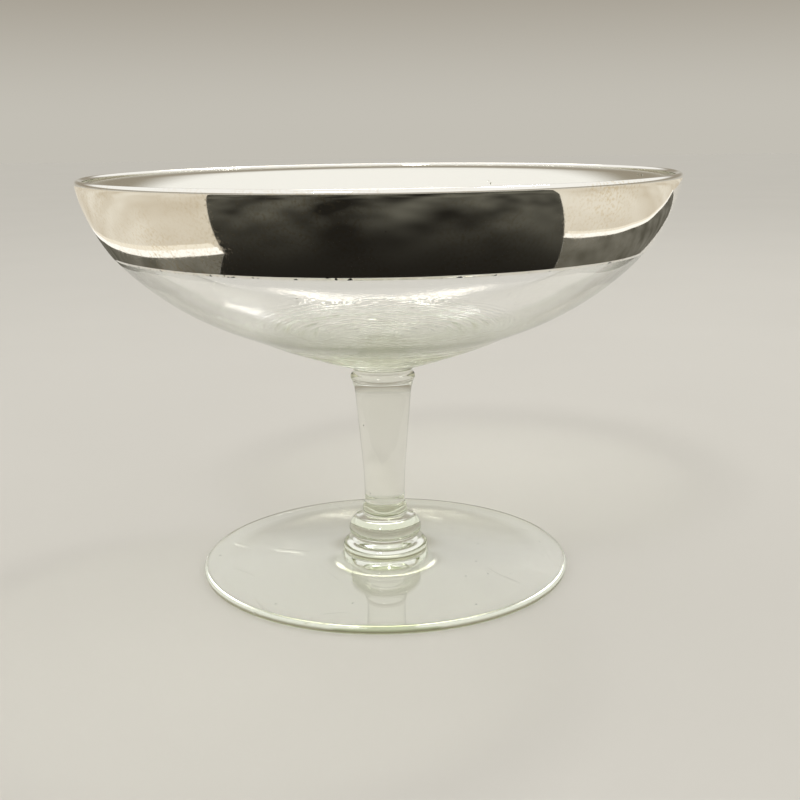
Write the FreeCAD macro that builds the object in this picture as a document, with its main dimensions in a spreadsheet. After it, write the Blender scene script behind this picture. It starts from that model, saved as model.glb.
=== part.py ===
import FreeCAD, Part
import math
import os
from types import SimpleNamespace

import Sketcher
from FreeCAD import Vector

# A pedestal compote: a wide bowl on a short stem and a round foot, all one piece
# of glass, with a thin band of silver round the outside of the bowl and its lip.
# The origin is on the table under the stem, with Z up the axis of the glass.

doc = FreeCAD.newDocument("PedestalCompote")

# Driving dimensions, in millimetres and degrees
SIZES = {
    # Bowl: rounds are those of the middle of the wall, widths run inwards
    "rim_radius": 80.0,
    "overall_height": 110.9,
    "lip_round": 0.9,
    "lip_lean": 11.5,
    "shoulder_round": 44.2,
    "shoulder_width": 13.9,
    "belly_round": 79.2,
    "belly_width": 23.1,
    "underside_round": 408.0,
    # Silver on the bowl
    "silver_thickness": 0.12,
    "band_depth": 19.8,
    # Neck and flange, hung from the bowl
    "neck_radius": 8.3,
    "neck_length": 2.8,
    "neck_inside": 1.8,
    "flange_radius": 9.1,
    "flange_half": 1.1,
    "flare_radius": 8.7,
    "flare_length": 4.7,
    # Shaft and collar
    "shaft_top_radius": 7.75,
    "taper_radius": 6.2,
    "taper_length": 12.3,
    "shaft_radius": 5.7,
    "collar_over": 2.3,
    "collar_radius": 6.4,
    "collar_under": 1.5,
    "collar_root_radius": 5.9,
    # Knop
    "knop_slope": 0.8,
    "knop_top_radius": 8.4,
    "knop_over": 3.6,
    "knop_radius": 10.3,
    "knop_under": 2.6,
    "groove_radius": 8.6,
    "groove_step": 0.3,
    # Pad on the foot
    "pad_radius": 12.1,
    "pad_round": 2.35,
    "pad_sink": 1.0,
    # Foot
    "foot_radius": 52.0,
    "foot_edge": 2.2,
    "foot_round": 0.85,
    "foot_slope": 0.6,
    "rise_radius": 19.0,
    "foot_rise": 1.1,
    "rest_width": 4.5,
    "hollow_depth": 0.8,
    "join_round": 0.4,
}

sheet = doc.addObject("Spreadsheet::Sheet", "Sizes")
for row, (name, value) in enumerate(SIZES.items(), start=1):
    sheet.set(f"A{row}", name)
    sheet.set(f"B{row}", str(value))
    sheet.setAlias(f"B{row}", name)
doc.recompute()


class Length:
    """A number with the formula of named sizes that gives it."""

    def __init__(self, number, formula):
        self.number = number
        self.formula = formula

    def __add__(self, other):
        return Length(self.number + other.number, f"({self.formula} + {other.formula})")

    def __sub__(self, other):
        return Length(self.number - other.number, f"({self.formula} - {other.formula})")

    def __mul__(self, other):
        return Length(self.number * other.number, f"{self.formula} * {other.formula}")


def sine(angle):
    return Length(math.sin(math.radians(angle.number)), f"sin({angle.formula})")


named = {name: Length(value, f"Sizes.{name}") for name, value in SIZES.items()}
sizes = SimpleNamespace(**named)

# The axis of the glass, as a distance across, and the table, as a height
ZERO = Length(0.0, "")

# A sketch's own origin and axes, and the places on its edges, as it numbers them
ORIGIN = (-1, 1)
TABLE_LINE = -1
AXIS_LINE = -2
START, END, CENTRE = 1, 2, 3
UPWARDS = Vector(0, 0, 1)


class Outline:
    """Half the section of a turned form: distance from the axis across, height up."""

    def __init__(self, body, name):
        self.sketch = body.newObject("Sketcher::SketchObject", name)
        planes = [part for part in body.Origin.OriginFeatures if part.Role == "XZ_Plane"]
        self.sketch.AttachmentSupport = (planes[0], "")
        self.sketch.MapMode = "FlatFace"
        self.begins = None
        self.first = None
        self.last = None
        self.point = None
        self.heading = None

    def tie(self, *rule):
        return self.sketch.addConstraint(Sketcher.Constraint(*rule))

    def drive(self, dimension, length):
        self.sketch.setExpression(f"Constraints[{dimension}]", length.formula)

    def place_radius(self, spot, length):
        """Sets how far a spot lies from the axis."""
        if length is ZERO:
            self.tie("PointOnObject", *spot, AXIS_LINE)
        else:
            self.drive(self.tie("DistanceX", *ORIGIN, *spot, length.number), length)

    def place_height(self, spot, length):
        """Sets how high a spot lies."""
        if length is ZERO:
            self.tie("PointOnObject", *spot, TABLE_LINE)
        else:
            self.drive(self.tie("DistanceY", *ORIGIN, *spot, length.number), length)

    def place(self, spot, radius, height):
        self.place_radius(spot, radius)
        self.place_height(spot, height)

    def begin(self, radius, height):
        """Names the outline's first point, which its first edge then takes."""
        self.begins = (radius, height)
        self.point = Vector(radius.number, height.number, 0)

    def add(self, edge, enter, leave, join):
        """Adds an edge, joined to the one before it."""
        index = self.sketch.addGeometry(edge, False)
        if self.last is None:
            self.first = (index, enter)
            self.place(self.first, *self.begins)
        else:
            self.tie(join, *self.last, index, enter)
        self.last = (index, leave)
        return index

    def line(self, radius, height):
        """A straight edge to a point."""
        end = Vector(radius.number, height.number, 0)
        self.add(Part.LineSegment(self.point, end), START, END, "Coincident")
        self.place(self.last, radius, height)
        self.heading = (end - self.point).normalize()
        self.point = end

    def close(self):
        """A straight edge back to the first point."""
        edge = Part.LineSegment(self.point, self.sketch.getPoint(*self.first))
        self.add(edge, START, END, "Coincident")
        self.tie("Coincident", *self.last, *self.first)

    def arc(self, centre, end, join="Coincident"):
        """The shorter arc to a point about a centre."""
        circle = Part.Circle(centre, UPWARDS, (end - centre).Length)
        angles = [circle.parameter(self.point), circle.parameter(end)]
        spoke = end - centre
        if (self.point - centre).cross(spoke).z > 0:
            index = self.add(Part.ArcOfCircle(circle, *angles), START, END, join)
            self.heading = Vector(-spoke.y, spoke.x, 0).normalize()
        else:
            index = self.add(Part.ArcOfCircle(circle, *reversed(angles)), END, START, join)
            self.heading = Vector(spoke.y, -spoke.x, 0).normalize()
        self.point = end
        return index

    def swell(self, radius, height, level):
        """An arc to a point, which stands upright at the level of its centre."""
        end = Vector(radius.number, height.number, 0)
        rise = (end.y - level.number) ** 2 - (self.point.y - level.number) ** 2
        across = (end.x ** 2 - self.point.x ** 2 + rise) / (2 * (end.x - self.point.x))
        index = self.arc(Vector(across, level.number, 0), end)
        self.place(self.last, radius, height)
        self.place_height((index, CENTRE), level)

    def fair(self, radius, height):
        """An arc to a point, which leaves the last edge smoothly."""
        end = Vector(radius.number, height.number, 0)
        step = end - self.point
        normal = Vector(-self.heading.y, self.heading.x, 0)
        centre = self.point + normal * (step.dot(step) / (2 * step.dot(normal)))
        self.arc(centre, end, "Tangent")
        self.place(self.last, radius, height)

    def dome(self, radius, height):
        """An arc from the axis, where it is level, down to a point."""
        end = Vector(radius.number, height.number, 0)
        fall = self.point.y - end.y
        reach = (end.x ** 2 + fall ** 2) / (2 * fall)
        index = self.arc(self.point - Vector(0, reach, 0), end)
        self.place(self.last, radius, height)
        self.tie("PointOnObject", index, CENTRE, AXIS_LINE)

    def over_lip(self, radius, height, lip_round, lean):
        """The rounded edge of a leaning wall, about a centre."""
        tilt = math.radians(lean.number)
        circle = Part.Circle(Vector(radius.number, height.number, 0), UPWARDS, lip_round.number)
        index = self.sketch.addGeometry(Part.ArcOfCircle(circle, -tilt, math.pi - tilt), False)
        self.place((index, CENTRE), radius, height)
        self.drive(self.tie("Radius", index, lip_round.number), lip_round)
        drop = lip_round * sine(lean)
        self.place_height((index, START), height - drop)
        self.place_height((index, END), height + drop)
        return index

    def descend(self, spot, lean):
        """Goes on from one side of a lip, down its leaning wall."""
        tilt = math.radians(lean.number)
        self.last = spot
        self.point = self.sketch.getPoint(*spot)
        self.heading = Vector(-math.sin(tilt), -math.cos(tilt), 0)

    def wall_side(self):
        """The way from the wall's face to the centre of its curve."""
        return Vector(self.heading.y, -self.heading.x, 0)

    def flow(self, bend, radius=None, height=None):
        """A smooth arc of a given bend, down to a distance from the axis or a height."""
        centre = self.point + self.wall_side() * bend.number
        if height is None:
            turn = -math.acos((radius.number - centre.x) / bend.number)
        else:
            turn = math.asin((height.number - centre.y) / bend.number)
        spoke = Vector(math.cos(turn), math.sin(turn), 0) * bend.number
        index = self.arc(centre, centre + spoke, "Tangent")
        self.drive(self.tie("Radius", index, bend.number), bend)
        if height is None:
            self.place_radius(self.last, radius)
        else:
            self.place_height(self.last, height)
        return index

    def flow_level(self):
        """A smooth arc down to the axis, level where it meets it."""
        bend = -self.point.x / self.wall_side().x
        centre = self.point + self.wall_side() * bend
        index = self.arc(centre, centre - Vector(0, bend, 0), "Tangent")
        self.tie("PointOnObject", index, CENTRE, AXIS_LINE)
        self.tie("PointOnObject", *self.last, AXIS_LINE)

    def bridge(self, one, other):
        """A straight edge between the ends of two others."""
        ends = [self.sketch.getPoint(*one), self.sketch.getPoint(*other)]
        index = self.sketch.addGeometry(Part.LineSegment(*ends), False)
        self.tie("Coincident", *one, index, START)
        self.tie("Coincident", *other, index, END)

    def height_on(self, index, radius, name):
        """The height of an arc's underside where it passes a distance from the axis."""
        curve = self.sketch.Geometry[index]
        fall = math.sqrt(curve.Radius ** 2 - (radius.number - curve.Center.x) ** 2)
        spot = Vector(radius.number, curve.Center.y - fall, 0)
        mark = self.sketch.addGeometry(Part.Point(spot), True)
        self.tie("PointOnObject", mark, START, index)
        self.place_radius((mark, START), radius)
        measure = self.tie("DistanceY", *ORIGIN, mark, START, spot.y)
        self.sketch.setDriving(measure, False)
        self.sketch.renameConstraint(measure, name)
        return Length(spot.y, f"{self.sketch.Name}.Constraints.{name} / 1 mm")


def turned(body, outline, name):
    """The outline turned once round the axis."""
    feature = body.newObject("PartDesign::Revolution", name)
    feature.Profile = outline.sketch
    feature.ReferenceAxis = (outline.sketch, ["V_Axis"])
    feature.Angle = 360
    return feature


def new_body(name):
    body = doc.addObject("PartDesign::Body", name)
    body.Label = name
    body.Placement = FreeCAD.Placement()
    return body


def bowl_outline(body):
    """The lip, a wall of even thickness, and a floor that thickens to the middle."""
    outline = Outline(body, "BowlOutline")
    shoulder_end = sizes.rim_radius - sizes.shoulder_width
    belly_end = shoulder_end - sizes.belly_width
    wall = sizes.lip_round + sizes.lip_round
    lip = outline.over_lip(lip_radius, lip_height, sizes.lip_round, sizes.lip_lean)
    outline.descend((lip, START), sizes.lip_lean)
    outline.flow(sizes.shoulder_round + sizes.lip_round, height=band_foot)
    outline.flow(sizes.shoulder_round + sizes.lip_round, shoulder_end)
    outline.flow(sizes.belly_round + sizes.lip_round, belly_end)
    underside = outline.flow(sizes.underside_round, ZERO)
    below = outline.last
    outline.descend((lip, END), sizes.lip_lean)
    outline.flow(sizes.shoulder_round - sizes.lip_round, shoulder_end - wall)
    outline.flow(sizes.belly_round - sizes.lip_round, belly_end - wall)
    outline.flow_level()
    outline.bridge(below, outline.last)
    return outline, outline.height_on(underside, sizes.neck_radius, "neck_seat")


def foot_outline(body):
    """A disc with a rounded edge and a hollow underside, rising to its middle."""
    outline = Outline(body, "FootOutline")
    edge_core = sizes.foot_radius - sizes.foot_round
    edge_top = sizes.foot_edge - sizes.foot_round
    outline.begin(ZERO, sizes.hollow_depth)
    outline.dome(edge_core - sizes.rest_width, ZERO)
    outline.line(edge_core, ZERO)
    outline.swell(sizes.foot_radius, sizes.foot_round, sizes.foot_round)
    outline.line(sizes.foot_radius, edge_top)
    outline.swell(edge_core, sizes.foot_edge, edge_top)
    outline.line(sizes.rise_radius, sizes.foot_edge + sizes.foot_slope)
    outline.fair(pad_core, foot_crest)
    outline.line(ZERO, foot_crest)
    outline.close()
    return outline


def stem_outline(body, neck_seat):
    """From the foot up: pad, knop, collar, tapered shaft, flange and neck."""
    outline = Outline(body, "StemOutline")
    pad_bottom = foot_crest - sizes.pad_sink
    pad_middle = pad_bottom + sizes.pad_round
    pad_top = pad_middle + sizes.pad_round
    outline.begin(ZERO, pad_bottom)
    outline.line(pad_core, pad_bottom)
    outline.swell(sizes.pad_radius, pad_middle, pad_middle)
    outline.swell(pad_core, pad_top, pad_middle)
    groove = pad_top + sizes.groove_step
    outline.line(sizes.groove_radius, groove)

    knop_middle = groove + sizes.knop_under
    knop_top = knop_middle + sizes.knop_over
    outline.swell(sizes.knop_radius, knop_middle, knop_middle)
    outline.swell(sizes.knop_top_radius, knop_top, knop_middle)
    collar_root = knop_top + sizes.knop_slope
    outline.line(sizes.collar_root_radius, collar_root)

    collar_middle = collar_root + sizes.collar_under
    shaft_bottom = collar_middle + sizes.collar_over
    outline.swell(sizes.collar_radius, collar_middle, collar_middle)
    outline.swell(sizes.shaft_radius, shaft_bottom, collar_middle)

    flange_middle = neck_seat - sizes.neck_length
    flange_bottom = flange_middle - sizes.flange_half
    outline.swell(sizes.taper_radius, shaft_bottom + sizes.taper_length, shaft_bottom)
    outline.line(sizes.shaft_top_radius, flange_bottom - sizes.flare_length)
    outline.fair(sizes.flare_radius, flange_bottom)
    outline.swell(sizes.flange_radius, flange_middle, flange_middle)
    outline.swell(sizes.neck_radius, flange_middle + sizes.flange_half, flange_middle)
    outline.line(sizes.neck_radius, neck_seat + sizes.neck_inside)
    outline.line(ZERO, neck_seat + sizes.neck_inside)
    outline.close()
    return outline


def band_outline(body):
    """A skin of even thickness over the lip and down the outside of the shoulder."""
    outline = Outline(body, "BandOutline")
    ends = []
    for skin in (ZERO, sizes.silver_thickness):
        edge_round = sizes.lip_round if skin is ZERO else sizes.lip_round + skin
        lip = outline.over_lip(lip_radius, lip_height, edge_round, sizes.lip_lean)
        outline.descend((lip, START), sizes.lip_lean)
        outline.flow(sizes.shoulder_round + edge_round, height=band_foot)
        ends.append(((lip, END), outline.last))
    for inner, outer in zip(*ends):
        outline.bridge(inner, outer)
    return outline


def join_edges(feature, radius_range, height_range):
    """The names of the rings that lie in a range of radius and height."""
    found = []
    for number, edge in enumerate(feature.Shape.Edges, start=1):
        if edge.Degenerated or not edge.isClosed():
            continue
        corner = edge.Vertexes[0].Point
        radius, height = math.hypot(corner.x, corner.y), corner.z
        in_radius = radius_range[0] < radius < radius_range[1]
        in_height = height_range[0] < height < height_range[1]
        if in_radius and in_height:
            found.append(f"Edge{number}")
    return found


lip_radius = sizes.rim_radius - sizes.silver_thickness - sizes.lip_round
lip_height = sizes.overall_height - sizes.silver_thickness - sizes.lip_round
band_foot = sizes.overall_height - sizes.band_depth
pad_core = sizes.pad_radius - sizes.pad_round
foot_crest = sizes.foot_edge + sizes.foot_slope + sizes.foot_rise

compote = new_body("glass_compote")
bowl, neck_seat = bowl_outline(compote)
turned(compote, bowl, "Bowl")
turned(compote, foot_outline(compote), "Foot")
whole = turned(compote, stem_outline(compote, neck_seat), "Stem")
doc.recompute()

# The hot joins of pad and foot, and of neck and bowl, have a small round
on_foot = join_edges(
    whole,
    (pad_core.number, sizes.pad_radius.number),
    ((foot_crest - sizes.pad_sink).number, foot_crest.number),
)
near = sizes.join_round
under_bowl = join_edges(
    whole,
    ((sizes.neck_radius - near).number, (sizes.neck_radius + near).number),
    ((neck_seat - near).number, (neck_seat + near).number),
)
joins = compote.newObject("PartDesign::Fillet", "Joins")
joins.Base = (whole, on_foot + under_bowl)
joins.Radius = sizes.join_round.number
joins.setExpression("Radius", sizes.join_round.formula)

band = new_body("silver_band")
turned(band, band_outline(band), "Band")
doc.recompute()

for item in doc.Objects:
    if "Invalid" in item.State or "Error" in item.State:
        raise SystemExit(f"{item.Label} failed")
for body in (compote, band):
    if body.Shape.isNull() or not body.Shape.isValid():
        raise SystemExit(f"{body.Label} has no valid shape")

os.makedirs("parts", exist_ok=True)
for body in (compote, band):
    body.Shape.exportStep(f"parts/{body.Label}.step")
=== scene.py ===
import math

import bmesh
import bpy
from mathutils import Matrix, Vector


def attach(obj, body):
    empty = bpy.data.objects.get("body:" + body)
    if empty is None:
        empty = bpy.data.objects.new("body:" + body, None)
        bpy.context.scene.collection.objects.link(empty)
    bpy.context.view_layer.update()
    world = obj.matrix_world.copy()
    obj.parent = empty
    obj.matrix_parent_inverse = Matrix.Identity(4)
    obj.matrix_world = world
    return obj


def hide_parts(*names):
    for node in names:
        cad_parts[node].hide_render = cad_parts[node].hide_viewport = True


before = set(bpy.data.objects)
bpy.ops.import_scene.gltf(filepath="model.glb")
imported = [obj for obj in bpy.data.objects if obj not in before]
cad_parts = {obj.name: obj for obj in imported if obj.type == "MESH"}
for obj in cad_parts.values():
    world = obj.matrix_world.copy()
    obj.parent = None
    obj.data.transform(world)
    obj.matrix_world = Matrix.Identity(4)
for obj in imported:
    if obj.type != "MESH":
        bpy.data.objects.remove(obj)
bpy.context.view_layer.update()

# Camera: it stands a third of a metre from the axis of the glass and a little above the
# rim, and looks down on the bowl. Sizes are written in millimetres all through, where
# Blender's own are metres.
MM = 0.001
CAMERA_PLACE = Vector((0.0, -323.5, 123.9)) * MM
CAMERA_PITCH = math.radians(13.23)
CAMERA_YAW = math.radians(0.84)
CAMERA_ROLL = math.radians(-0.75)
LENS = 53.0
SENSOR_WIDTH = 36.0
NEAREST = 10

camera_data = bpy.data.cameras.new("camera")
camera_data.lens = LENS
camera_data.sensor_width = SENSOR_WIDTH
camera_data.clip_start = NEAREST * MM
camera = bpy.data.objects.new("camera", camera_data)
bpy.context.scene.collection.objects.link(camera)
turn = Matrix.Rotation(-CAMERA_YAW, 4, "Z") @ Matrix.Rotation(math.pi / 2 - CAMERA_PITCH, 4, "X")
camera.matrix_world = Matrix.Translation(CAMERA_PLACE) @ turn @ Matrix.Rotation(CAMERA_ROLL, 4, "Z")
bpy.context.scene.camera = camera

# Glass compote: bowl, stem and foot in one, of clear soda-lime glass. The bowl is
# blown and spun open, the stem drawn and tooled while hot, and the foot pressed flat.
# Its section is drawn from the underside up, over the lip and down into the bowl.
AROUND = 192
SAME_POINT = 0.002


class Section:
    """Half the section of a turned form, drawn from point to point in a few steps each.

    A point is its reach from the axis and its height, in mm.
    """

    def __init__(self, reach, height):
        self.mesh = bmesh.new()
        self.tip = self.mesh.verts.new(self.spot(reach, height))
        self.heading = None

    def spot(self, reach, height):
        """A point of the section, in metres."""
        return Vector((reach, 0.0, height)) * MM

    def straight(self, reach, height, steps):
        """A straight run to a point."""
        run = self.spot(reach, height) - self.tip.co
        for _ in range(steps):
            self.tip = bmesh.ops.extrude_vert_indiv(self.mesh, verts=[self.tip])["verts"][0]
            bmesh.ops.translate(self.mesh, verts=[self.tip], vec=run / steps)
        self.heading = run.normalized()

    def round(self, centre, reach, height, steps):
        """The shorter arc about a centre to a point."""
        start = self.tip.co - centre
        end = self.spot(reach, height) - centre
        turned = math.atan2(start.z * end.x - start.x * end.z, start.dot(end))
        bent = bmesh.ops.spin(
            self.mesh, geom=[self.tip], cent=centre, axis=(0, 1, 0), angle=turned, steps=steps
        )
        self.tip = bent["geom_last"][0]
        self.heading = Vector((end.z, 0, -end.x)).normalized() * math.copysign(1, turned)

    def swell(self, reach, height, level, steps):
        """An arc to a point, upright at the level of its centre."""
        end = self.spot(reach, height)
        waist = level * MM
        rise = (end.z - waist) ** 2 - (self.tip.co.z - waist) ** 2
        across = (end.x**2 - self.tip.co.x**2 + rise) / (2 * (end.x - self.tip.co.x))
        self.round(Vector((across, 0, waist)), reach, height, steps)

    def fair(self, reach, height, steps):
        """An arc to a point, smooth with the run before it."""
        step = self.spot(reach, height) - self.tip.co
        normal = Vector((-self.heading.z, 0, self.heading.x))
        centre = self.tip.co + normal * (step.length_squared / (2 * step.dot(normal)))
        self.round(centre, reach, height, steps)

    def turned(self, name):
        """The section turned once round the axis, as a piece with its faces outwards."""
        mesh = self.mesh
        bmesh.ops.spin(
            mesh, geom=mesh.verts[:] + mesh.edges[:], cent=(0, 0, 0), axis=(0, 0, 1),
            angle=2 * math.pi, steps=AROUND, use_merge=True,
        )
        bmesh.ops.remove_doubles(mesh, verts=mesh.verts, dist=SAME_POINT * MM)
        bmesh.ops.recalc_face_normals(mesh, faces=mesh.faces)
        for face in mesh.faces:
            face.smooth = True
        return placed(name, mesh)


def placed(name, mesh):
    """A new object of a mesh, at the origin."""
    data = bpy.data.meshes.new(name)
    mesh.to_mesh(data)
    mesh.free()
    piece = bpy.data.objects.new(name, data)
    bpy.context.scene.collection.objects.link(piece)
    return piece


# The underside of the foot is hollow and rests on a flat ring, its edge is
# fire-polished, and its top rises softly to the pad
FOOT_RADIUS = 52.0
FOOT_THICKNESS = 2.2
FOOT_ROUND = 0.85
REST_WIDTH = 4.5
HOLLOW = 0.8
rest_outside = FOOT_RADIUS - FOOT_ROUND
rest_inside = rest_outside - REST_WIDTH
hollow_bend = (rest_inside**2 + HOLLOW**2) / (2 * HOLLOW)
edge_top = FOOT_THICKNESS - FOOT_ROUND
glass = Section(0, HOLLOW)
glass.round(Vector((0, 0, HOLLOW - hollow_bend)) * MM, rest_inside, 0, 14)
glass.straight(rest_outside, 0, 4)
glass.swell(FOOT_RADIUS, FOOT_ROUND, FOOT_ROUND, 5)
glass.straight(FOOT_RADIUS, edge_top, 1)
glass.swell(rest_outside, FOOT_THICKNESS, edge_top, 5)
glass.straight(19, 2.8, 32)
glass.fair(12.048, 3.452, 8)

# Hot join to the pad, the pad itself, the knop on a tooled groove, and the collar
JOIN = Vector((12.115, 0, 3.846)) * MM
PAD_RADIUS, PAD_LEVEL = 12.1, 5.25
KNOP_RADIUS, KNOP_LEVEL = 10.3, 10.5
COLLAR_RADIUS, COLLAR_LEVEL = 6.4, 16.4
glass.round(JOIN, 11.771, 4.05, 3)
glass.swell(PAD_RADIUS, PAD_LEVEL, PAD_LEVEL, 5)
glass.swell(9.75, 7.6, PAD_LEVEL, 9)
glass.straight(8.6, 7.9, 3)
glass.swell(KNOP_RADIUS, KNOP_LEVEL, KNOP_LEVEL, 8)
glass.swell(8.4, 14.1, KNOP_LEVEL, 10)
glass.straight(5.9, 14.9, 5)
glass.swell(COLLAR_RADIUS, COLLAR_LEVEL, COLLAR_LEVEL, 5)

# The shaft, drawn thinner towards the foot, its flange, and the neck under the bowl
SHAFT_RADIUS, SHAFT_LEVEL = 5.7, 18.7
FLANGE_RADIUS, FLANGE_LEVEL = 9.1, 55.122
NECK_RADIUS, NECK_LEVEL = 8.3, 57.629
glass.swell(SHAFT_RADIUS, SHAFT_LEVEL, COLLAR_LEVEL, 6)
glass.swell(6.2, 31, SHAFT_LEVEL, 16)
glass.straight(7.75, 49.322, 20)
glass.fair(8.7, 54.022, 6)
glass.swell(FLANGE_RADIUS, FLANGE_LEVEL, FLANGE_LEVEL, 4)
glass.swell(NECK_RADIUS, 56.222, FLANGE_LEVEL, 4)
glass.straight(NECK_RADIUS, NECK_LEVEL, 3)
glass.swell(8.579, 58.01, NECK_LEVEL, 3)

# The bowl's outside: a nearly flat underside with rings left by the tool that opened
# it, the belly, and the shoulder up to the lip
RIPPLE_SPACING = 3.6
RIPPLE_DEPTH = 0.26
RIPPLE_START, RIPPLE_END = 8.6, 35.0
FADE_IN, FADE_OUT = 1.5, 5
UNDERSIDE = Vector((-114.65, 0, 446.94)) * MM
BELLY = Vector((12.05, 0, 144.52)) * MM
SHOULDER = Vector((35.67, 0, 118.69)) * MM
before = set(glass.mesh.verts)
glass.round(UNDERSIDE, 43, 70.644, 84)
for point in set(glass.mesh.verts) - before:
    reach = point.co.x / MM
    fade = min(1, (RIPPLE_END - reach) / FADE_OUT, (reach - RIPPLE_START) / FADE_IN)
    wave = RIPPLE_DEPTH * max(0, fade) * math.sin(2 * math.pi * reach / RIPPLE_SPACING)
    point.co += (point.co - UNDERSIDE).normalized() * wave * MM
glass.round(BELLY, 66.1, 85.407, 22)
glass.round(SHOULDER, 79.862, 109.701, 26)

# Over the lip and down the inside to the floor of the bowl
LIP = Vector((78.98, 0, 109.88)) * MM
FLOOR_BEND = Vector((0, 0, 176.765)) * MM
glass.round(LIP, 79.16, 110.762, 4)
glass.round(LIP, 78.098, 110.059, 5)
glass.round(SHOULDER, 64.3, 86.21, 24)
glass.round(BELLY, 41.2, 72.088, 20)
glass.round(FLOOR_BEND, 0, 64.272, 24)

compote = glass.turned("compote_glass")


def linear(code):
    """The linear colour of an sRGB hex code."""
    parts = [int(code[i : i + 2], 16) / 255 for i in (1, 3, 5)]
    return [p / 12.92 if p <= 0.04045 else ((p + 0.055) / 1.055) ** 2.4 for p in parts] + [1.0]


def add(owner, kind, settings=None, inputs=None):
    """Adds a shader node with its settings, and its inputs as values or as links."""
    node = owner.node_tree.nodes.new("ShaderNode" + kind)
    for key, value in (settings or {}).items():
        setattr(node, key, value)
    for key, value in (inputs or {}).items():
        if isinstance(value, bpy.types.NodeSocket):
            owner.node_tree.links.new(value, node.inputs[key])
        else:
            node.inputs[key].default_value = value
    return node


def bare_material(name):
    """A new material with no nodes."""
    material = bpy.data.materials.new(name)
    material.use_nodes = True
    material.node_tree.nodes.clear()
    return material


# Soda-lime glass, fire-polished: clear and glossy, with the faint waves of blown glass.
# It is faintly yellow-green where one looks a long way through it. Where one looks along
# its surface its colour is darkened, a painted shade for the dark edges of glass.
WAVE_SIZE = 9.0
WAVE_DEPTH = 0.05
WAVE_STRENGTH = 0.25
clear_glass = bare_material("soda_lime_glass")
glass_place = add(clear_glass, "TexCoord").outputs["Object"]
glass_level = add(clear_glass, "SeparateXYZ", {}, {"Vector": glass_place}).outputs["Z"]
waves = add(clear_glass, "TexNoise", {}, {
    "Vector": glass_place, "Scale": 1 / (WAVE_SIZE * MM), "Detail": 1.0,
})
waved = add(clear_glass, "Bump", {}, {
    "Height": waves.outputs["Fac"], "Strength": WAVE_STRENGTH, "Distance": WAVE_DEPTH * MM,
})

# Fine broken rings, 1.5 mm apart, are left in the bottom of the bowl by the tool that
# opened it. At a scale of 1, a wave texture's rings lie a tenth of pi apart.
RING_UNIT = math.pi / 10
TOOL_MARK_SPACING = 1.5
TOOL_MARK_DEPTH = 0.1
BOWL_STARTS, BOWL_STARTED = 57.5, 59.0
MARKS_END, MARKS_FADE = 69.5, 67.5
tool_marks = add(clear_glass, "TexWave", {"wave_type": "RINGS", "rings_direction": "Z"}, {
    "Vector": glass_place, "Scale": RING_UNIT / (TOOL_MARK_SPACING * MM), "Distortion": 2.5,
    "Detail": 3.0, "Detail Scale": 1.0,
})
above_stem = add(clear_glass, "MapRange", {}, {
    "Value": glass_level, "From Min": BOWL_STARTS * MM, "From Max": BOWL_STARTED * MM,
})
below_belly = add(clear_glass, "MapRange", {}, {
    "Value": glass_level, "From Min": MARKS_END * MM, "From Max": MARKS_FADE * MM,
})
marked = add(clear_glass, "Math", {"operation": "MULTIPLY"}, {
    0: above_stem.outputs["Result"], 1: below_belly.outputs["Result"],
})
marks = add(clear_glass, "Bump", {}, {
    "Height": tool_marks.outputs["Fac"], "Strength": marked.outputs["Value"],
    "Distance": TOOL_MARK_DEPTH * MM, "Normal": waved.outputs["Normal"],
})

# A fine orange peel, which blown glass keeps as it cools, goes on up the belly
PEEL_SPACING = 0.9
PEEL_DEPTH = 0.04
PEEL_END, PEEL_FADE = 79.0, 69.0
peel = add(clear_glass, "TexNoise", {}, {
    "Vector": glass_place, "Scale": 1 / (PEEL_SPACING * MM), "Detail": 1.5,
})
below_shoulder = add(clear_glass, "MapRange", {"interpolation_type": "SMOOTHSTEP"}, {
    "Value": glass_level, "From Min": PEEL_END * MM, "From Max": PEEL_FADE * MM,
})
peeled = add(clear_glass, "Math", {"operation": "MULTIPLY"}, {
    0: above_stem.outputs["Result"], 1: below_shoulder.outputs["Result"],
})
orange_peel = add(clear_glass, "Bump", {}, {
    "Height": peel.outputs["Fac"], "Strength": peeled.outputs["Value"],
    "Distance": PEEL_DEPTH * MM, "Normal": marks.outputs["Normal"],
})

# Faint curved scratches run over the foot in broken strokes, on the crests of swirling
# bands 44 mm apart along one axis. They are drawn about half a millimetre wide, many
# times too wide, so that they show.
BAND_UNIT = math.pi / 5
SCRATCH_SPACING = 44.0
SCRATCH_DEPTH = 0.012
SCRATCH_CREST = 0.998
STROKE_LENGTH = 12.0
FOOT_END, FOOT_FADE = 3.2, 2.9
swirls = add(clear_glass, "TexWave", {"wave_type": "BANDS", "bands_direction": "DIAGONAL"}, {
    "Vector": glass_place, "Scale": BAND_UNIT / (SCRATCH_SPACING * MM), "Distortion": 7.0,
    "Detail": 0.0, "Detail Scale": 2.0,
})
crest = add(clear_glass, "MapRange", {}, {
    "Value": swirls.outputs["Fac"], "From Min": SCRATCH_CREST, "From Max": 1.0,
})
strokes = add(clear_glass, "TexNoise", {}, {
    "Vector": glass_place, "Scale": 1 / (STROKE_LENGTH * MM), "Detail": 1.0,
})
broken = add(clear_glass, "MapRange", {"interpolation_type": "SMOOTHSTEP"}, {
    "Value": strokes.outputs["Fac"], "From Min": 0.45, "From Max": 0.6,
    "To Max": crest.outputs["Result"],
})
on_foot = add(clear_glass, "MapRange", {}, {
    "Value": glass_level, "From Min": FOOT_END * MM, "From Max": FOOT_FADE * MM,
})
scratched = add(clear_glass, "Math", {"operation": "MULTIPLY"}, {
    0: broken.outputs["Result"], 1: on_foot.outputs["Result"],
})
scratches = add(clear_glass, "Bump", {}, {
    "Height": scratched.outputs["Value"], "Strength": 1.0, "Distance": SCRATCH_DEPTH * MM,
    "Normal": orange_peel.outputs["Normal"],
})

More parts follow.
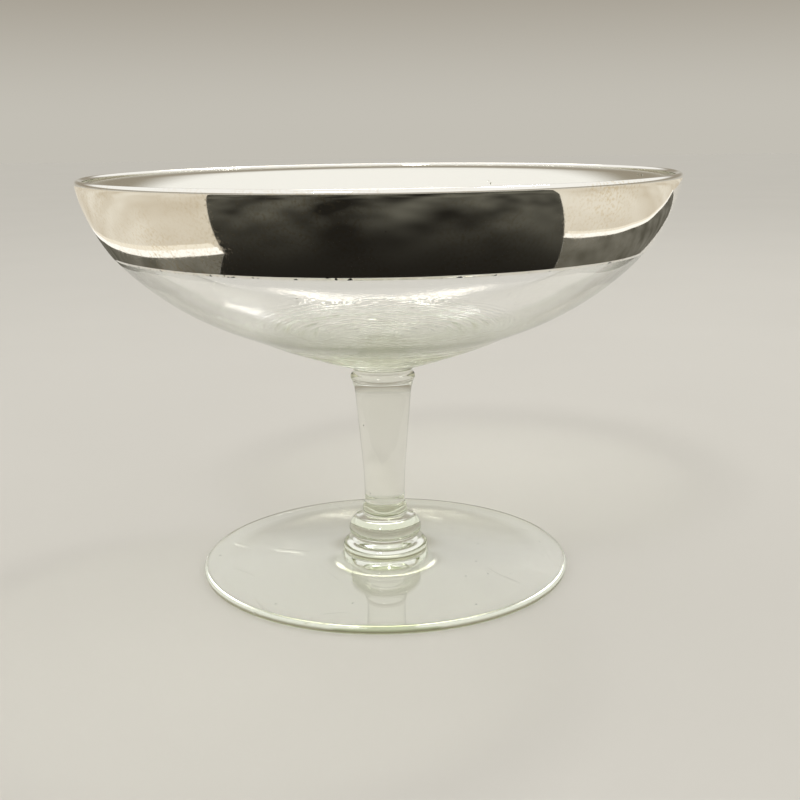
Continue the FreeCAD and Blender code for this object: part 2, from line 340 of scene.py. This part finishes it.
# A few tiny seeds, bubbles caught in the melt, lie all over
SEED_SPACING = 8.0
SEED_RADIUS = 0.35
SEED_DEPTH = 0.3
scatter = add(clear_glass, "TexVoronoi", {}, {
    "Vector": glass_place, "Scale": 1 / (SEED_SPACING * MM),
})
seed = add(clear_glass, "MapRange", {"interpolation_type": "SMOOTHSTEP"}, {
    "Value": scatter.outputs["Distance"], "From Min": SEED_RADIUS / SEED_SPACING, "From Max": 0.0,
})
seeds = add(clear_glass, "Bump", {}, {
    "Height": seed.outputs["Result"], "Strength": 1.0, "Distance": SEED_DEPTH * MM,
    "Normal": scratches.outputs["Normal"],
})

# The body of the glass. It passes most lamp light on to what stands behind it, and
# light that has gone to and fro inside it three times is let out, so that it stays
# clear. A Mix node takes its two colours at inputs 6 and 7 and gives one at output 2.
FIRST, SECOND, MIXED = 6, 7, 2
GRAZING_START = 0.7
TRAPPED_AFTER = 2.5
TINT_PER_METRE = 11.0
# Painted shade: towards grazing angles the glass colour is darkened to a grey-green, for dark edges
facing = add(clear_glass, "LayerWeight", {}, {"Blend": 0.5, "Normal": seeds.outputs["Normal"]})
grazing = add(clear_glass, "MapRange", {"interpolation_type": "SMOOTHSTEP"}, {
    "Value": facing.outputs["Facing"], "From Min": GRAZING_START, "From Max": 1.0,
})
painted_edge_shade = add(clear_glass, "Mix", {"data_type": "RGBA"}, {
    "Factor": grazing.outputs["Result"], FIRST: linear("#ffffff"), SECOND: linear("#7c8276"),
})
body = add(clear_glass, "BsdfPrincipled", {}, {
    "Base Color": painted_edge_shade.outputs[MIXED], "Roughness": 0.0, "IOR": 1.52,
    "Transmission Weight": 1.0, "Normal": seeds.outputs["Normal"],
})
passed = add(clear_glass, "BsdfTransparent", {}, {"Color": linear("#eceee6")})
ray = add(clear_glass, "LightPath").outputs
trapped = add(clear_glass, "Math", {"operation": "GREATER_THAN"}, {
    0: ray["Glossy Depth"], 1: TRAPPED_AFTER,
})
let_out = add(clear_glass, "Math", {"operation": "MAXIMUM"}, {
    0: ray["Is Shadow Ray"], 1: trapped.outputs["Value"],
})
blend = add(clear_glass, "MixShader", {}, {
    0: let_out.outputs["Value"], 1: body.outputs["BSDF"], 2: passed.outputs["BSDF"],
})
tint = add(clear_glass, "VolumeAbsorption", {}, {
    "Color": linear("#e4eabc"), "Density": TINT_PER_METRE,
})
add(clear_glass, "OutputMaterial", {}, {
    "Surface": blend.outputs["Shader"], "Volume": tint.outputs["Volume"],
})

compote.data.materials.append(clear_glass)
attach(compote, "root")
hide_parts("glass_compote")

# Silver band: a thin skin of silver, deposited on the outside of the glass and polished,
# from the shoulder up over the lip. Through the wall its back shows as a mirror. It is
# drawn a little way into the glass, so that no air lies between the two.
OUTER_SKIN = 0.12
SUNK = 0.03
BAND_FOOT = 91.1
LIP_ROUND = 0.9
SHOULDER_BEND = 45.1
WALL_LEAN = 11.5
LIP_CREST = 80
SHOULDER_STEPS = 22
LIP_STEPS = 7


def shoulder_reach(bend, height):
    """How far the shoulder's curve of a given bend lies from the axis at a height."""
    fall = SHOULDER.z / MM - height
    return SHOULDER.x / MM + math.sqrt(bend**2 - fall**2)


def lip_spot(spread, angle):
    """A point round the lip, in degrees up from level outwards."""
    tilt = math.radians(angle)
    return LIP.x / MM + spread * math.cos(tilt), LIP.z / MM + spread * math.sin(tilt)


# An arc takes the shorter way, so the way round the lip is drawn as two
outer_foot = shoulder_reach(SHOULDER_BEND + OUTER_SKIN, BAND_FOOT)
inner_foot = shoulder_reach(SHOULDER_BEND - SUNK, BAND_FOOT)
silver = Section(inner_foot, BAND_FOOT)
silver.straight(outer_foot, BAND_FOOT, 2)
silver.round(SHOULDER, *lip_spot(LIP_ROUND + OUTER_SKIN, -WALL_LEAN), SHOULDER_STEPS)
for angle in (LIP_CREST, 180 - WALL_LEAN):
    silver.round(LIP, *lip_spot(LIP_ROUND + OUTER_SKIN, angle), LIP_STEPS)
silver.straight(*lip_spot(LIP_ROUND - SUNK, 180 - WALL_LEAN), 2)
for angle in (LIP_CREST, -WALL_LEAN):
    silver.round(LIP, *lip_spot(LIP_ROUND - SUNK, angle), LIP_STEPS)
silver.round(SHOULDER, inner_foot, BAND_FOOT, SHOULDER_STEPS)
band = silver.turned("silver_skin")

# Silver, deposited and polished: a clean mirror with a faint warm bloom of tarnish on
# its outside, in patches of fine specks that are a little less glossy
BLOOM_SIZE = 26.0
SPECK_SIZE = 0.8
mirror = bare_material("polished_silver")
silver_place = add(mirror, "TexCoord").outputs["Object"]
bloom = add(mirror, "TexNoise", {}, {
    "Vector": silver_place, "Scale": 1 / (BLOOM_SIZE * MM), "Detail": 3.0,
})
bloom_area = add(mirror, "MapRange", {}, {
    "Value": bloom.outputs["Fac"], "From Min": 0.42, "From Max": 0.72,
})
specks = add(mirror, "TexNoise", {}, {
    "Vector": silver_place, "Scale": 1 / (SPECK_SIZE * MM), "Detail": 1.0,
})
speck_area = add(mirror, "MapRange", {}, {
    "Value": specks.outputs["Fac"], "From Min": 0.45, "From Max": 0.75,
})
from_axis = add(mirror, "VectorMath", {"operation": "MULTIPLY"}, {
    0: silver_place, 1: (1.0, 1.0, 0.0),
})
outwards = add(mirror, "VectorMath", {"operation": "DOT_PRODUCT"}, {
    0: from_axis.outputs["Vector"], 1: add(mirror, "NewGeometry").outputs["Normal"],
})
outside = add(mirror, "Math", {"operation": "GREATER_THAN"}, {
    0: outwards.outputs["Value"], 1: 0.0,
})
spotted = add(mirror, "Math", {"operation": "MULTIPLY"}, {
    0: bloom_area.outputs["Result"], 1: speck_area.outputs["Result"],
})
tarnish = add(mirror, "Math", {"operation": "MULTIPLY"}, {
    0: spotted.outputs["Value"], 1: outside.outputs["Value"],
})
bloomed = add(mirror, "Mix", {"data_type": "RGBA"}, {
    "Factor": tarnish.outputs["Value"], FIRST: linear("#faf8f2"), SECOND: linear("#e8dcc4"),
})
gloss = add(mirror, "MapRange", {}, {
    "Value": tarnish.outputs["Value"], "To Min": 0.035, "To Max": 0.22,
})

# Along its lower edge, where it lies bare, small spots are worn through and look dark
GRIT_SIZE = 1.6
WEAR_START, WEAR_END = BAND_FOOT + 0.1, BAND_FOOT + 1.4
silver_level = add(mirror, "SeparateXYZ", {}, {"Vector": silver_place}).outputs["Z"]
sheltered = add(mirror, "MapRange", {}, {
    "Value": silver_level, "From Min": WEAR_START * MM, "From Max": WEAR_END * MM,
    "To Min": 0.0, "To Max": 0.2,
})
grit = add(mirror, "TexNoise", {}, {
    "Vector": silver_place, "Scale": 1 / (GRIT_SIZE * MM), "Detail": 2.0,
})
rubbed = add(mirror, "Math", {"operation": "SUBTRACT"}, {
    0: grit.outputs["Fac"], 1: sheltered.outputs["Result"],
})
worn = add(mirror, "MapRange", {}, {
    "Value": rubbed.outputs["Value"], "From Min": 0.6, "From Max": 0.63,
})
silver_colour = add(mirror, "Mix", {"data_type": "RGBA"}, {
    "Factor": worn.outputs["Result"], FIRST: bloomed.outputs[MIXED], SECOND: linear("#2b2823"),
})
skin = add(mirror, "BsdfPrincipled", {}, {
    "Base Color": silver_colour.outputs[MIXED], "Metallic": 1.0,
    "Roughness": gloss.outputs["Result"],
})
add(mirror, "OutputMaterial", {}, {"Surface": skin.outputs["BSDF"]})

band.data.materials.append(mirror)
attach(band, "root")
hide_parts("silver_band")

# Floor: a plain pale table top with matt paint, which hardly changes in tone. It lies a
# tenth of a millimetre low, so that the ring of the foot doesn't share its surface.
FLOOR_HALF_WIDTH = 4000
FLOOR_DROP = 0.1
GRAIN_SIZE = 120.0
floor_mesh = bmesh.new()
bmesh.ops.create_grid(floor_mesh, x_segments=1, y_segments=1, size=FLOOR_HALF_WIDTH * MM)
bmesh.ops.translate(floor_mesh, verts=floor_mesh.verts, vec=(0, 0, -FLOOR_DROP * MM))
floor = placed("floor", floor_mesh)
floor_paint = bare_material("pale_matt_paint")
grain = add(floor_paint, "TexNoise", {}, {
    "Vector": add(floor_paint, "TexCoord").outputs["Object"],
    "Scale": 1 / (GRAIN_SIZE * MM), "Detail": 2.0,
})
floor_tone = add(floor_paint, "Mix", {"data_type": "RGBA"}, {
    "Factor": grain.outputs["Fac"], FIRST: linear("#c9c6bf"), SECOND: linear("#cdcac3"),
})
matt = add(floor_paint, "BsdfPrincipled", {}, {
    "Base Color": floor_tone.outputs[MIXED], "Roughness": 0.8, "Specular IOR Level": 0.0,
})
add(floor_paint, "OutputMaterial", {}, {"Surface": matt.outputs["BSDF"]})
floor.data.materials.append(floor_paint)

# Cards of a studio, only for the mirror and the glass to reflect. On the floor lie a
# dark one in front and two grey ones at the sides, each of these with a narrow white
# edge and a warm white card behind it. Each kind lies a little higher than the last.
# They glow at their own tone and are hidden from the camera, so what the band and the
# glass show of them is painted reflection.
FRONT_LIFT, WARM_LIFT, GREY_LIFT, HALO_LIFT, STRIP_LIFT = 1.0, 1.1, 1.2, 1.4, 1.6
LEFT_EDGE = (
    (-118, -75), (-130, -55), (-142, -35), (-161, 8),
    (-187, 76), (-213, 158), (-252, 323), (-315, 697),
)
RIGHT_EDGE = (
    (154, -65), (166, -44), (184, -17), (206, 23), (233, 69),
    (269, 147), (318, 233), (372, 342), (463, 508),
)
NEAR_LEFT, NEAR_RIGHT = (-97, -26), (101, -20)
FAR_LEFT, FAR_RIGHT = (-600, -382), (640, -437)


def card(name, corners, paint):
    """A flat card, seen only in reflections: corners in mm."""
    sheet = bmesh.new()
    sheet.faces.new([sheet.verts.new(Vector(corner) * MM) for corner in corners])
    bmesh.ops.recalc_face_normals(sheet, faces=sheet.faces)
    piece = placed(name, sheet)
    piece.data.materials.append(paint)
    piece.visible_camera = False
    piece.visible_diffuse = False
    piece.visible_shadow = False
    piece.visible_transmission = False


def lying(corners, lift):
    """Corners on the floor, raised a little above it."""
    return [(x, y, lift) for x, y in corners]


def card_paint(name, dark, pale, size, dark_reach=(0, 1)):
    """Paint that glows at its own tone, softly mottled, and is dark near the foot: sizes in mm."""
    paint = bare_material(name)
    place = add(paint, "TexCoord").outputs["Object"]
    mottle = add(paint, "TexNoise", {}, {"Vector": place, "Scale": 1 / (size * MM), "Detail": 2.0})
    spread = add(paint, "MapRange", {}, {
        "Value": mottle.outputs["Fac"], "From Min": 0.35, "From Max": 0.65,
    })
    distance = add(paint, "VectorMath", {"operation": "LENGTH"}, {0: place})
    far = add(paint, "MapRange", {"interpolation_type": "SMOOTHSTEP"}, {
        "Value": distance.outputs["Value"],
        "From Min": dark_reach[0] * MM, "From Max": dark_reach[1] * MM,
    })
    paleness = add(paint, "Math", {"operation": "MULTIPLY"}, {
        0: spread.outputs["Result"], 1: far.outputs["Result"],
    })
    mottled = add(paint, "Mix", {"data_type": "RGBA"}, {
        "Factor": paleness.outputs["Value"], FIRST: linear(dark), SECOND: linear(pale),
    })
    glow = add(paint, "Emission", {}, {"Color": mottled.outputs[MIXED], "Strength": 1.0})
    add(paint, "OutputMaterial", {}, {"Surface": glow.outputs["Emission"]})
    return paint


dark_paint = card_paint("dark_card", "#211f1b", "#66645a", size=110, dark_reach=(90, 260))
card("front_card", lying((
    LEFT_EDGE[0], FAR_LEFT, (-300, -900), (400, -900), FAR_RIGHT, RIGHT_EDGE[0],
    NEAR_RIGHT, (46, -64), (2, -70), (-47, -61), NEAR_LEFT,
), FRONT_LIFT), dark_paint)
grey_paint = card_paint("grey_card", "#57544a", "#77746a", size=60)
card("left_card", lying(
    LEFT_EDGE + ((-235, 700), (-190, 285), (-160, 104), (-136, 34), NEAR_LEFT), GREY_LIFT,
), grey_paint)
card("right_card", lying(
    RIGHT_EDGE + ((330, 600), (220, 300), (170, 172), (124, 14), NEAR_RIGHT), GREY_LIFT,
), grey_paint)
warm_paint = card_paint("warm_card", "#cfc4b0", "#e6dfd0", size=200)
card("left_warm_card", lying((
    LEFT_EDGE[0], FAR_LEFT, (-1500, -300), (-1500, 1500), (-500, 1500), LEFT_EDGE[-1],
) + tuple(reversed(LEFT_EDGE))[1:-1], WARM_LIFT), warm_paint)
card("right_warm_card", lying((
    RIGHT_EDGE[0], FAR_RIGHT, (1500, -300), (1500, 1500), (700, 1500), RIGHT_EDGE[-1],
) + tuple(reversed(RIGHT_EDGE))[1:-1], WARM_LIFT), warm_paint)

# The white edge of a grey card is a cream halo with a narrower bright strip on it, and
# each reaches outwards from the card by its width. They glow, and show in the band as
# painted highlights.
EDGE_STAGGER = 4
EDGE_GLOW = 1.1
CREAM, WHITE = "#ebe3d2", "#fffcf5"
for name, edge, width, tone, lift in (
    ("left_halo", LEFT_EDGE, -24, CREAM, HALO_LIFT),
    ("left_strip", LEFT_EDGE, -13, WHITE, STRIP_LIFT),
    ("right_halo", RIGHT_EDGE, 15, CREAM, HALO_LIFT),
    ("right_strip", RIGHT_EDGE, 8, WHITE, STRIP_LIFT),
):
    edge_paint = bare_material(name)
    edge_light = add(edge_paint, "Emission", {}, {"Color": linear(tone), "Strength": EDGE_GLOW})
    add(edge_paint, "OutputMaterial", {}, {"Surface": edge_light.outputs["Emission"]})
    outer = tuple((x + width, y - EDGE_STAGGER) for x, y in reversed(edge))
    card(name, lying(edge + outer, lift), edge_paint)

# A bright glowing strip hangs behind and is soft at its edges. It is hidden from the
# camera and shows only in reflections, a painted highlight: an arc in the bowl.
STRIP_HALF_WIDTH = 150
STRIP_HALF_HEIGHT = 70
STRIP_MIDDLE = 655
STRIP_BACK = 640
STRIP_GLOW = 9.0
strip_glow_paint = bare_material("reflected_strip_glow")
spot = add(strip_glow_paint, "SeparateXYZ", {}, {"Vector": add(strip_glow_paint, "TexCoord").outputs["Object"]})
aside = add(strip_glow_paint, "Math", {"operation": "ABSOLUTE"}, {0: spot.outputs["X"]})
raised = add(strip_glow_paint, "Math", {"operation": "SUBTRACT"}, {0: spot.outputs["Z"], 1: STRIP_MIDDLE * MM})
off_middle = add(strip_glow_paint, "Math", {"operation": "ABSOLUTE"}, {0: raised.outputs["Value"]})
soft_ends = add(strip_glow_paint, "MapRange", {"interpolation_type": "SMOOTHSTEP"}, {
    "Value": aside.outputs["Value"],
    "From Min": STRIP_HALF_WIDTH * MM, "From Max": STRIP_HALF_WIDTH / 2 * MM,
})
soft_sides = add(strip_glow_paint, "MapRange", {"interpolation_type": "SMOOTHSTEP"}, {
    "Value": off_middle.outputs["Value"], "From Min": STRIP_HALF_HEIGHT * MM, "From Max": 0.0,
})
softness = add(strip_glow_paint, "Math", {"operation": "MULTIPLY"}, {
    0: soft_ends.outputs["Result"], 1: soft_sides.outputs["Result"],
})
clear = add(strip_glow_paint, "BsdfTransparent")
shining = add(strip_glow_paint, "Emission", {}, {"Color": linear("#fffaf0"), "Strength": STRIP_GLOW})
soft_light = add(strip_glow_paint, "MixShader", {}, {
    0: softness.outputs["Value"], 1: clear.outputs["BSDF"], 2: shining.outputs["Emission"],
})
add(strip_glow_paint, "OutputMaterial", {}, {"Surface": soft_light.outputs["Shader"]})
card("back_strip", [
    (x * STRIP_HALF_WIDTH, STRIP_BACK, STRIP_MIDDLE + z * STRIP_HALF_HEIGHT)
    for x, z in ((-1, -1), (1, -1), (1, 1), (-1, 1))
], strip_glow_paint)

# Light: a large soft sky, which starts at the floor's own tone, falls off a little
# above the horizon and is white overhead, and two small soft lamps. A height in the
# sky is a share of straight up.
FALLOFF_END = 0.16
BRIGHT_START, BRIGHT_END = 0.22, 0.36
world = bpy.data.worlds.new("studio")
bpy.context.scene.world = world
world.use_nodes = True
world.node_tree.nodes.clear()
up = add(world, "SeparateXYZ", {}, {"Vector": add(world, "TexCoord").outputs["Generated"]})
falloff = add(world, "MapRange", {"interpolation_type": "SMOOTHSTEP"}, {
    "Value": up.outputs["Z"], "From Min": 0.0, "From Max": FALLOFF_END,
})
backdrop = add(world, "Mix", {"data_type": "RGBA"}, {
    "Factor": falloff.outputs["Result"], FIRST: linear("#c3bfb5"), SECOND: linear("#9a9284"),
})
rise = add(world, "MapRange", {"interpolation_type": "SMOOTHSTEP"}, {
    "Value": up.outputs["Z"], "From Min": BRIGHT_START, "From Max": BRIGHT_END,
})
sky = add(world, "Mix", {"data_type": "RGBA"}, {
    "Factor": rise.outputs["Result"], FIRST: backdrop.outputs[MIXED], SECOND: linear("#faf9f6"),
})
background = add(world, "Background", {}, {"Color": sky.outputs[MIXED], "Strength": 1.0})
add(world, "OutputWorld", {}, {"Surface": background.outputs["Background"]})

BOWL_BOTTOM = Vector((0, 0, 60)) * MM


def lamp(name, place, width, depth, watts):
    """A rectangular soft lamp, turned towards the bottom of the bowl: sizes in mm."""
    data = bpy.data.lights.new(name, "AREA")
    data.shape = "RECTANGLE"
    data.size = width * MM
    data.size_y = depth * MM
    data.energy = watts
    holder = bpy.data.objects.new(name, data)
    bpy.context.scene.collection.objects.link(holder)
    stand = Vector(place) * MM
    tilt = (BOWL_BOTTOM - stand).to_track_quat("-Z", "Y").to_matrix().to_4x4()
    holder.matrix_world = Matrix.Translation(stand) @ tilt


lamp("window_lamp", place=(-260, -700, 900), width=190, depth=150, watts=2.2)
lamp("ceiling_lamp", place=(350, 500, 1000), width=160, depth=160, watts=1.6)

bpy.context.scene.view_settings.view_transform = "Standard"
